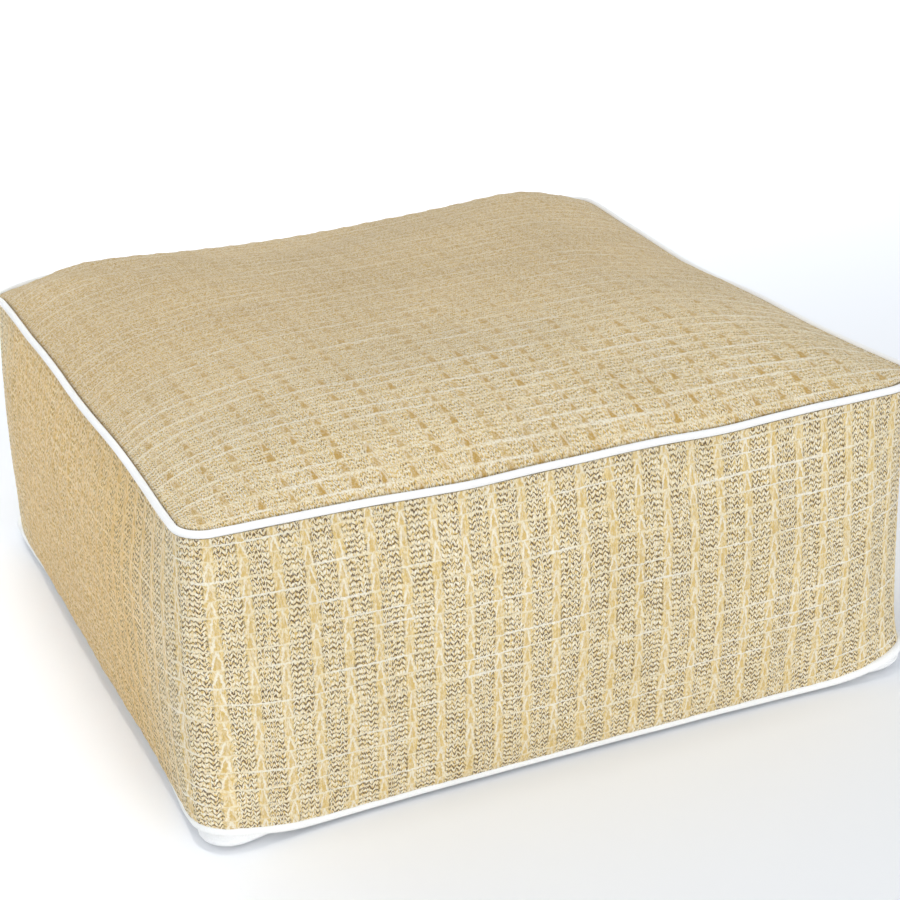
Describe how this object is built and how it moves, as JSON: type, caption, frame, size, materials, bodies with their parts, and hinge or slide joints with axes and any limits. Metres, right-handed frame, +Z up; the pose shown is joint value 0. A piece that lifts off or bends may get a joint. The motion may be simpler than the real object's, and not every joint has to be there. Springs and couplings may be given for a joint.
{
  "type": "cube pouf stool",
  "caption": "Low square filled pouf stool with a woven top and boxing, a softly crowned top and round piping at the top and bottom edges.",
  "frame": {"origin": "middle of the footprint, on the floor the pouf rests on", "axes": "+Z up out of the crowned top, -Y towards the front, +X towards the right seen from the front"},
  "size_m": [0.6174, 0.6268, 0.2907],
  "materials": {
    "straw_boxing": "coarse matte weave of flat straw yarns, with ladder bands that run up the sides",
    "straw_top": "the same coarse matte straw weave, with its bands running from front to back",
    "white_cloth": "plain matte white cloth",
    "white_piping": "smooth white cloth over a round cord",
    "white_piping_low": "smooth white cloth over a round cord"
  },
  "bodies": {
    "root": {"boxed_body": "straw_boxing", "top_panel": "straw_top", "bottom_panel": "white_cloth", "top_piping": "white_piping", "bottom_piping": "white_piping_low"}
  },
  "joints": []
}
